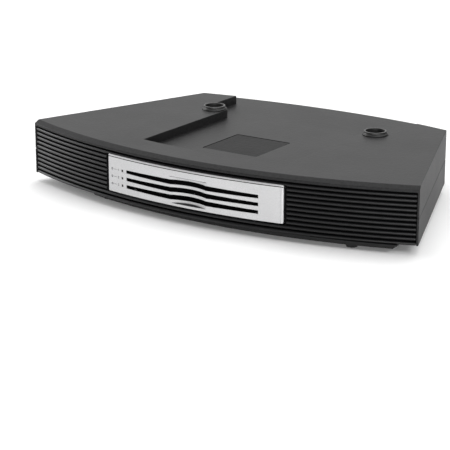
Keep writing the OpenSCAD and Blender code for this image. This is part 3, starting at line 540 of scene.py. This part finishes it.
def build_marks():
    """Beside each lamp: a small ring, a dash and the slot's number, as flat ink on the fascia."""
    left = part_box("front_panel")[0].x
    bm = bmesh.new()

    def patch(corners):
        face = []
        for lift in (INK_FRONT, INK_BACK):
            face.append([bm.verts.new((x, front_y(x) - lift, z)) for x, z in corners])
        top, bottom = face
        bm.faces.new(top)
        bm.faces.new(list(reversed(bottom)))
        for k in range(len(top)):
            n = (k + 1) % len(top)
            bm.faces.new((top[n], top[k], bottom[k], bottom[n]))

    def stroke(a, b, half):
        run = Vector((b[0] - a[0], b[1] - a[1])).normalized()
        side = Vector((-run.y, run.x)) * half
        a, b = Vector(a) - run * half * 0.6, Vector(b) + run * half * 0.6
        patch([(a + side)[:], (b + side)[:], (b - side)[:], (a - side)[:]])

    centre = left + RING_INSET
    for number, z in enumerate(SLOT_ZS, 1):
        for k in range(RING_STEPS):
            a0, a1 = 2 * math.pi * k / RING_STEPS, 2 * math.pi * (k + 1) / RING_STEPS
            corners = ((RING_OUTER, a0), (RING_OUTER, a1), (RING_INNER, a1), (RING_INNER, a0))
            patch([(centre + r * math.cos(a) * MM, z + r * math.sin(a) * MM) for r, a in corners])
        stroke((centre + DASH_FROM, z), (centre + DASH_TO, z), DASH_HALF_W)
        for ends in STROKES[number]:
            start, end = [(centre + (DIGIT_OFFSET + x) * MM, z + y * MM) for x, y in ends]
            stroke(start, end, DIGIT_HALF_W)
    bmesh.ops.recalc_face_normals(bm, faces=bm.faces)
    add_piece("lamp_marks", to_mesh("lamp_marks", bm, None), INK)


dress_cad_nodes()
build_casing()
build_grille_bars()
build_marks()


# --- Stage: floor, lights and camera ---------------------------------------

def build_floor():
    mesh = bpy.data.meshes.new("floor")
    half = 6.0
    mesh.from_pydata([(-half, -half, 0), (half, -half, 0), (half, half, 0), (-half, half, 0)],
                     [], [(0, 1, 2, 3)])
    floor = bpy.data.objects.new("floor", mesh)
    bpy.context.scene.collection.objects.link(floor)
    s = Shader("floor_paper")
    s.set(Base_Color=s.ramp(s.noise(3, 2.0), [(0.3, 0.90), (0.7, 0.92)]), Roughness=0.9,
          Specular_IOR_Level=0.0, Emission_Color=(1, 1, 1), Emission_Strength=0.06)
    mesh.materials.append(s.mat)


SUNS = [
    # name, towards, angle in degrees, strength
    ("rear_sky", (0.0, 0.45, 0.9), 70, 1.55),
    ("left_sky", (-0.5, 0.25, 0.8), 60, 0.92),
]
SOFTBOXES = [
    # name, place, aim, size, watts
    ("left_softbox", (-2.0, -0.3, 0.6), (-0.1, -0.1, 0.03), (1.2, 0.8), 18),
    ("rear_softbox", (-1.6, 2.4, 0.9), (0, 0, 0.03), (3.0, 1.2), 12),
    ("top_softbox", (-0.6, 1.8, 2.0), (0, 0, 0.03), (2.4, 1.6), 8),
    ("right_softbox", (1.9, -0.6, 1.3), (0.1, -0.1, 0.03), (1.0, 0.6), 18),
    ("front_softbox", (1.0, -2.2, 0.5), (0.05, -0.1, 0.03), (1.2, 0.6), 17),
    ("low_fill", (1.6, -1.8, 0.25), (0.05, -0.1, 0.03), (1.0, 0.4), 15),
]
SKY_STRENGTH = 0.24


def add_light(name, kind, strength):
    data = bpy.data.lights.new(name, kind)
    data.energy = strength
    light = bpy.data.objects.new(name, data)
    bpy.context.scene.collection.objects.link(light)
    return light


def build_lights():
    world = bpy.data.worlds.new("studio")
    bpy.context.scene.world = world
    world.use_nodes = True
    background = world.node_tree.nodes["Background"]
    background.inputs["Color"].default_value = (1, 1, 1, 1)
    background.inputs["Strength"].default_value = SKY_STRENGTH
    for name, towards, angle, strength in SUNS:
        light = add_light(name, "SUN", strength)
        light.data.angle = math.radians(angle)
        light.rotation_euler = Vector(towards).to_track_quat("Z", "Y").to_euler()
    for name, place, aim, size, watts in SOFTBOXES:
        light = add_light(name, "AREA", watts)
        light.data.shape = "RECTANGLE"
        light.data.size, light.data.size_y = size
        light.location = place
        light.rotation_euler = (Vector(aim) - Vector(place)).to_track_quat("-Z", "Y").to_euler()


def build_camera():
    data = bpy.data.cameras.new("camera")
    data.sensor_width = 36
    data.lens = 143.0
    camera = bpy.data.objects.new("camera", data)
    bpy.context.scene.collection.objects.link(camera)
    target = Vector((-0.05677, 0.01897, -0.04417))
    azimuth, elevation, distance = math.radians(33.92), math.radians(17.35), 1.55474
    back = Vector((math.sin(azimuth) * math.cos(elevation), -math.cos(azimuth) * math.cos(elevation),
                   math.sin(elevation)))
    camera.location = target + back * distance
    camera.rotation_euler = (-back).to_track_quat("-Z", "Y").to_euler()
    bpy.context.scene.camera = camera
    bpy.context.scene.view_settings.view_transform = "Standard"


build_floor()
build_lights()
build_camera()
